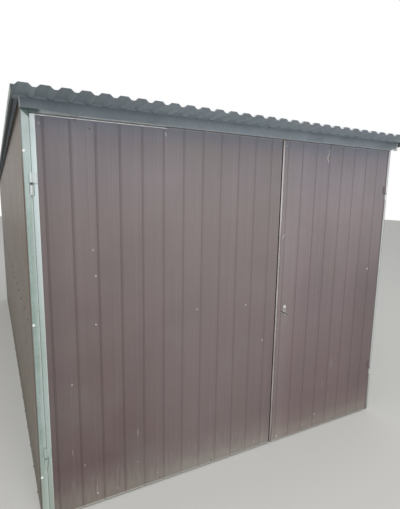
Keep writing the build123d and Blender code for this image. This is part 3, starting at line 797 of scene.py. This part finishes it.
# Weld beads of the leaf frames
# Short rippled beads where the rails meet the stiles, on the inner face, left as welded and rusting.
bead_radius = 0.0026
bead_ripple = 0.0005
bead_step = 0.0015
rail_bead_length = 0.026
rail_bead_lift = 0.002
rail_bead_depth = 0.001
mid_rail_z = 1.045
top_rail_depth = 0.050


def weld_bead(solids, start, end):
    """Adds a rippled bead between two points, thinner at both ends."""
    run = end - start
    axis = run.normalized()
    count = max(6, int(run.length / bead_step))
    profile = []
    for step in range(count + 1):
        share = step / count
        swell = min(1.0, 0.35 + 4 * min(share, 1 - share))
        profile.append((bead_radius * swell + bead_ripple * math.sin(step * 2.1), share * run.length))
    turned(solids, profile, 10, start, axis, 0.0)


bead_metal = galvanised("weld_bead_rusting", "#95979a", "#75726e", "#5c5249", 0.01, 0.62)
for leaf in ("left_leaf", "right_leaf"):
    rails_low, rails_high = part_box(f"{leaf}_rails")
    solids = ([], [])
    for bead_x in (rails_low.x, rails_high.x):
        for rail_z in (rails_low.z, mid_rail_z, rails_high.z - top_rail_depth):
            start = Vector((bead_x, rails_high.y - rail_bead_depth, rail_z + rail_bead_lift))
            weld_bead(solids, start, start + Vector((0, 0, rail_bead_length)))
    joined_piece(f"{leaf}_weld_beads", solids, leaf, bead_metal)

# Leaf sheets
# The same brown sheet as the walls, on the two leaves. Hands, the lock and passing things have
# scuffed it: smudges, small chips down to the pale primer and a squiggle of a scratch.
primer_pale = "#b5aead"
chip_pale = "#d9d5d1"
chip_dark = "#4d4341"
smudge_grey = "#8a8b85"
smudge_low = "#8b8380"
faded_brown = "#9a9090"
eave_shade_grey = "#828696"
darker_brown = "#443b3b"
dried_mud = "#b3b1a7"
scratch_wave = 0.066


def stain_outside(coat, amount, colour):
    """Lays a colour over a coated sheet, on its outer face only."""
    material, sockets = coat
    operation = {"operation": "SUBTRACT", "use_clamp": True}
    stain(material, add(material.node_tree, "Math", operation, {0: amount, 1: sockets["inside"]}), colour)


def worn_patch(coat, middle, half_size, softness, amount, colour):
    """A scuffed spot round a place (x, z) on a leaf, in metres, with a ragged or a soft edge."""
    material, sockets = coat
    tree = material.node_tree
    offset = add(
        tree, "VectorMath", {"operation": "SUBTRACT"}, {0: sockets["place"], 1: (middle[0], 0, middle[1])}
    )
    scaled = add(
        tree, "VectorMath", {"operation": "MULTIPLY"},
        {0: offset, 1: (1 / half_size[0], 0, 1 / half_size[1])},
    )
    away = add(tree, "VectorMath", {"operation": "LENGTH"}, {0: scaled})
    ragged = add(
        tree, "Math", {"operation": "MULTIPLY_ADD"}, {0: sockets["noise"], 1: 1.2, 2: away.outputs["Value"]}
    )
    worn = add(
        tree, "MapRange", {"interpolation_type": "SMOOTHSTEP"},
        {"Value": ragged, "From Min": 1.6, "From Max": 1.6 - softness, "To Max": amount},
    )
    stain_outside(coat, worn, colour)


def scratch_line(coat, x, z_range, sway, half_width, amount, colour):
    """An upright scratch at a place x between two heights, which wanders from side to side by a sway."""
    material, sockets = coat
    tree = material.node_tree
    split = add(tree, "SeparateXYZ", {}, {"Vector": sockets["place"]})
    pace = 2 * math.pi / scratch_wave
    turns = add(tree, "Math", {"operation": "MULTIPLY"}, {0: split.outputs["Z"], 1: pace})
    wave = add(tree, "Math", {"operation": "SINE"}, {0: turns})
    wander = add(tree, "Math", {"operation": "MULTIPLY_ADD"}, {0: wave, 1: sway, 2: split.outputs["X"]})
    aside = add(tree, "Math", {"operation": "SUBTRACT"}, {0: wander, 1: x})
    away = add(tree, "Math", {"operation": "ABSOLUTE"}, {0: aside})
    line = add(
        tree, "MapRange", {},
        {"Value": away, "From Min": half_width, "From Max": half_width / 2, "To Max": amount},
    )
    level = add(tree, "Math", {"operation": "SUBTRACT"}, {0: split.outputs["Z"], 1: sum(z_range) / 2})
    beyond = add(tree, "Math", {"operation": "ABSOLUTE"}, {0: level})
    half_run = (z_range[1] - z_range[0]) / 2
    along = add(tree, "MapRange", {}, {"Value": beyond, "From Min": half_run, "From Max": half_run * 0.7})
    both = add(tree, "Math", {"operation": "MULTIPLY"}, {0: line, 1: along})
    stain_outside(coat, both, colour)


left_tones = ("#786a67", "#665454", "#706262", "#7d7273", "#7f797f")
right_tones = ("#82726f", "#746263", "#817275", "#8b8083", "#8a848c")
left_coat = coated_sheet("brown_coat_left_leaf", "left_leaf_sheet", "Y", left_tones)
right_coat = coated_sheet("brown_coat_right_leaf", "right_leaf_sheet", "Y", right_tones)
left_brown = left_coat[0]
right_brown = right_coat[0]
finish(["left_leaf_sheet"], left_brown)
finish(["right_leaf_sheet"], right_brown)
for brown in (left_brown, right_brown):
    stain_where(brown, [("X", -0.95, -0.35), ("X", 0.50, 0.22)], 0.25, faded_brown)
    # Painted shade of the fascia: a bluish grey band at the top of each leaf.
    stain_where(brown, [("Z", 1.97, 2.09)], 0.6, eave_shade_grey)
    # Painted light: a pale line along the sheet's top, against the shade in the slit under the fascia.
    stain_where(brown, [("Z", 2.074, 2.079)], 0.25, "#c5cacf")
    stain_where(brown, [("X", -0.95, -0.30), ("Z", 0.13, 0.02)], 0.20, dried_mud)
    # Painted light: the sheet's top edges are near white, against the same shade.
    stain_where(brown, [("Z", 2.060, 2.075), ("facing Z", 0.85, 0.95)], 1.0, "#f2f4f6")
stain_where(left_brown, [("X", -1.02, -1.20)], 0.20, darker_brown)
stain_where(left_brown, [("X", 0.17, 0.22), ("Z", 1.0, 0.7)], 0.14, darker_brown)
# Painted shadow: the right leaf darkens towards its right edge between 0.3 m and 1.1 m up.
stain_where(right_brown, [("X", 0.80, 1.12), ("Z", 1.50, 1.10), ("Z", 0.10, 0.30)], 0.28, darker_brown)
stain_where(right_brown, [("X", 0.30, 0.45), ("Z", 0.14, 0.03)], 0.16, dried_mud)
stain_where(right_brown, [("X", 0.30, 0.40), ("Z", 1.00, 0.55)], 0.40, "#766566")

chip_size = (0.0055, 0.0065)
speck_size = (0.005, 0.008)
run_size = (0.004, 0.028)
left_chips = [(-0.962, 1.448, 0.38), (-0.951, 1.313, 0.55), (-1.091, 0.745, 0.40)]
left_chips += [(0.132, 0.790, 0.75), (-0.974, 0.068, 0.70)]
left_specks = [(-0.860, 0.056), (-0.738, 0.182), (-0.615, 0.070), (-0.359, 0.061), (-0.142, 0.062)]
left_specks += [(-1.040, 0.265), (-0.111, 0.044), (-0.055, 0.045), (0.101, 0.060)]
left_runs = [(-0.976, 0.100), (-0.736, 0.372), (-1.100, 0.360)]
right_chips = [(1.106, 1.199, 1.0), (1.108, 1.204, 1.0), (0.295, 0.040, 1.0), (0.655, 0.115, 0.9)]
right_specks = [(0.387, 0.053), (0.539, 0.065), (0.649, 0.063), (0.807, 0.049)]
right_specks += [(0.989, 0.095), (1.055, 0.113)]
right_runs = [(0.789, 0.229)]
for coat, chips, specks, runs in (
    (left_coat, left_chips, left_specks, left_runs),
    (right_coat, right_chips, right_specks, right_runs),
):
    for chip_x, chip_z, amount in chips:
        worn_patch(coat, (chip_x, chip_z), chip_size, 0.4, amount, chip_pale)
    for speck in specks:
        worn_patch(coat, speck, speck_size, 0.6, 0.55, primer_pale)
    for run in runs:
        worn_patch(coat, run, run_size, 0.6, 0.4, primer_pale)
worn_patch(left_coat, (-1.190, 2.042), (0.006, 0.007), 0.5, 0.6, primer_pale)
worn_patch(left_coat, (-1.030, 2.073), (0.008, 0.006), 0.4, 0.8, chip_dark)
scratch_line(left_coat, -0.564, (2.035, 2.056), 0.001, 0.0034, 0.9, "#d5d3d6")
scratch_line(left_coat, -0.564, (1.900, 2.050), 0.001, 0.0022, 0.25, primer_pale)
scratch_line(right_coat, 0.625, (1.955, 2.054), 0.007, 0.0052, 0.8, "#c6c1c1")
worn_patch(right_coat, (0.793, 0.490), (0.024, 0.060), 0.9, 0.55, smudge_low)
worn_patch(right_coat, (0.713, 0.339), (0.014, 0.045), 0.9, 0.6, smudge_low)
worn_patch(right_coat, (0.310, 0.920), (0.045, 0.110), 1.0, 0.36, smudge_grey)
worn_patch(right_coat, (0.300, 1.390), (0.050, 0.100), 1.0, 0.28, smudge_grey)

# Leaf screws
# Pan-headed screws beside the grooves, driven into the three rails of each leaf. A few have kept
# their bright plating; the others, and all along the foot, are painted over.
leaf_screw_radius = 0.0050
leaf_screw_height = 0.0024
pan_head = [
    (leaf_screw_radius, -0.0004),
    (leaf_screw_radius, leaf_screw_height * 0.35),
    (leaf_screw_radius * 0.85, leaf_screw_height * 0.8),
    (leaf_screw_radius * 0.45, leaf_screw_height),
]
bright_screws = {
    "left_leaf": [(-0.958, 1.054), (-0.361, 1.062), (-0.010, 1.048)],
    "right_leaf": [(0.258, 2.049)],
}
brown_screws = {
    "left_leaf": [(-0.601, 0.029), (-0.241, 0.029), (0.119, 0.029), (-0.962, 2.039)],
    "right_leaf": [(0.493, 0.029), (0.853, 0.029), (1.093, 0.029), (0.613, 1.062), (0.973, 1.062)],
}
for leaf, places in bright_screws.items():
    face_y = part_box(f"{leaf}_sheet")[0].y
    for group, spots, metal in (
        ("screws", places, plated_screw),
        ("brown_screws", brown_screws[leaf], painted_screw),
    ):
        solids = ([], [])
        for screw_x, screw_z in spots:
            turned(solids, pan_head, 18, Vector((screw_x, face_y, screw_z)), Vector((0, -1, 0)), 0.0)
        joined_piece(f"{leaf}_{group}", solids, leaf, metal)

# Hinges
# Lift-off barrel hinges of bright steel, welded to the post and to the leaf. The weld burnt the zinc
# off, so they have rusted there. The barrel ends by the gap between the barrels are darkened, partly
# for grease and partly as painted shade of the gap.
grease_and_gap_shade = "#2f2a27"
hinge_gaps = (0.3745, 1.7695)
hinge_from_middle = 1.235
hinge_length = 0.048
bead_aside = 0.0065
bead_out = 0.0005
bead_short_by = 0.006
shim_x = (1.2240, 1.2292)
shim_y = (-2.5040, -2.5000)
shim_below = 0.060
shim_above = 0.002
lip_x = (-1.2285, -1.2215)
lip_y = (-2.5068, -2.5050)
lip_above = (0.049, 0.058)
# The right hinges' paler zinc is painted light against the shade beside the leaf's edge.
for side, outward, gap_darkness, pale in (("left", -1, 0.9, "#d3dbdc"), ("right", 1, 0.4, "#f1f5f4")):
    hinge_zinc = galvanised(f"galvanised_hinge_{side}", pale, "#bac4c5", "#a9a99c", 0.45, 0.76)
    for gap in hinge_gaps:
        band = [
            ("Z", gap - 0.010, gap - 0.003),
            ("Z", gap + 0.009, gap + 0.002),
            ("X", outward * 1.2245, outward * 1.2285),
        ]
        stain_where(hinge_zinc, band, gap_darkness, grease_and_gap_shade)
        if side == "right":
            wing = [
                ("X", 1.2300, 1.2285),
                ("Z", gap - 0.001, gap + 0.001),
                ("Z", gap + 0.080, gap + 0.070),
            ]
            stain_where(hinge_zinc, wing, 1.0, paint_on_post)
    if side == "left":
        stain_where(hinge_zinc, [("Z", 1.0, 0.6)], 0.65, "#9fb3ab")
    finish([f"{side}_post_hinges", f"{side}_leaf_hinges"], hinge_zinc)

# Painted light on the post's face beside the lower barrel halves, against the barrel's shadow.
for gap in hinge_gaps:
    barrel_shade_lifted = [
        ("X", -1.250, -1.243),
        ("Z", gap - 0.060, gap - 0.050),
        ("Z", gap + 0.004, gap - 0.004),
    ]
    stain_where(post_zinc, barrel_shade_lifted, 0.45, "#e6f0ec")

for side, outward in (("left", -1), ("right", 1)):
    solids = ([], [])
    for gap in hinge_gaps:
        bead_x = outward * (hinge_from_middle + bead_aside)
        foot = Vector((bead_x, shim_y[1] - bead_out, gap - hinge_length))
        weld_bead(solids, foot, foot + Vector((0, 0, hinge_length - bead_short_by)))
    joined_piece(f"{side}_hinge_weld_beads", solids, "garage", bead_metal)


def bar(solids, x_range, y_range, z_range):
    """Adds a short upright bar between two corners."""
    start, end = x_range
    front, rear = y_range
    outline = ((start, rear), (end, rear), (end, front), (start, front))
    skin(solids, [[Vector((x, y, z)) for x, y in outline] for z in z_range])


shims = {"left": ([], []), "right": ([], [])}
lip_ends = ([], [])
for gap in hinge_gaps:
    shim_z = (gap - shim_below, gap + shim_above)
    bar(shims["left"], (-shim_x[1], -shim_x[0]), shim_y, shim_z)
    bar(shims["right"], shim_x, shim_y, shim_z)
    bar(lip_ends, lip_x, lip_y, (gap + lip_above[0], gap + lip_above[1]))
joined_piece("left_hinge_shims", shims["left"], "garage", post_zinc)
joined_piece("right_hinge_shims", shims["right"], "garage", right_post_zinc)
joined_piece("left_leaf_edge_ends", lip_ends, "left_leaf", strip_zinc)

# Lock
# A slotted steel plate with a profile cylinder through it, and a plain steel case behind the sheet.
# The plate is zinc plated and rubbed, and the nickel cylinder is the brightest thing on the gate.
plate_zinc = galvanised("plated_lock_plate", "#cdc8ca", "#a09b9c", "#726b64", 0.01, 0.70)
finish(["lock_escutcheon", "upper_latch", "lock_case"], plate_zinc)
nickel_scratch_mm = 1.2
nickel_shadow = "#4a4543"
nickel, tree, shader = new_finish("satin_nickel_cylinder")
place = add(tree, "TexCoord", {}, {}).outputs["Object"]
scratches = add(tree, "TexNoise", {}, {"Vector": place, "Scale": 1000 / nickel_scratch_mm, "Detail": 4.0})
brightness = add(tree, "MapRange", {}, {"Value": scratches, "From Min": 0.3, "From Max": 0.7})
nickel_colour = add(
    tree, "Mix", {"data_type": "RGBA"},
    {0: brightness, 6: linear("#f6f2f1"), 7: linear("#e0dbda")},
)
tree.links.new(nickel_colour.outputs[2], shader.inputs["Base Color"])
lock_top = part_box("lock_cylinder")[1].z
height = add(tree, "SeparateXYZ", {}, {"Vector": place}).outputs["Z"]
leg = add(
    tree, "MapRange", {},
    {"Value": height, "From Min": lock_top - 0.019, "From Max": lock_top - 0.022, "To Max": 0.85},
)
stain(nickel, leg, nickel_shadow)
shader.inputs["Metallic"].default_value = 0.3
dull_spots = add(
    tree, "MapRange", {},
    {"Value": scratches, "From Min": 0.3, "From Max": 0.7, "To Min": 0.22, "To Max": 0.5},
)
tree.links.new(dull_spots.outputs[0], shader.inputs["Roughness"])
nickel_bump = add(tree, "Bump", {}, {"Height": scratches, "Strength": 0.2, "Distance": 0.0003})
tree.links.new(nickel_bump.outputs[0], shader.inputs["Normal"])
finish(["lock_cylinder"], nickel)

plate_low, plate_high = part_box("lock_escutcheon")
plate_x = (plate_low.x + plate_high.x) / 2
plate_screw_inset = 0.007
plate_screw = [(0.0034, -0.0003), (0.0034, 0.0006), (0.0022, 0.0012)]
solids = ([], [])
for screw_z in (plate_high.z - plate_screw_inset, plate_low.z + plate_screw_inset):
    turned(solids, plate_screw, 16, Vector((plate_x, plate_low.y, screw_z)), Vector((0, -1, 0)), 0.0)
joined_piece("lock_plate_screws", solids, "right_leaf", plated_screw)

# Bent wire
# The end of a wire that once held the gate shut, hooked through the sheet under the lock, in dull
# bright zinc. A dark copy of it, a little higher and to the right, is its painted shadow.
wire_radius = 0.0022
strand_drop = 0.0062
wire_bends = [(0.276, 0.9625), (0.290, 0.9555), (0.301, 0.9460), (0.326, 0.9370)]
wire_zinc = galvanised("wire_dull_zinc", "#dedbd6", "#bab7b0", "#8f8c82", 0.01, 0.72)
wire_shadow_strand = galvanised("wire_painted_shadow", "#4c4340", "#3a3230", "#3a3230", 0.01, 0.60)
wire_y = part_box("right_leaf_sheet")[0].y - wire_radius
for strand, rise, metal in (("bent_wire", 0.0, wire_zinc), ("bent_wire_dark", strand_drop, wire_shadow_strand)):
    solids = ([], [])
    for start, end in zip(wire_bends, wire_bends[1:]):
        start_place = Vector((start[0] + rise, wire_y, start[1] + rise / 2))
        run = Vector((end[0] - start[0], 0, end[1] - start[1]))
        blunt = [(wire_radius, -wire_radius / 2), (wire_radius, run.length + wire_radius / 2)]
        turned(solids, blunt, 12, start_place, run.normalized(), 0.0)
    joined_piece(strand, solids, "right_leaf", metal)
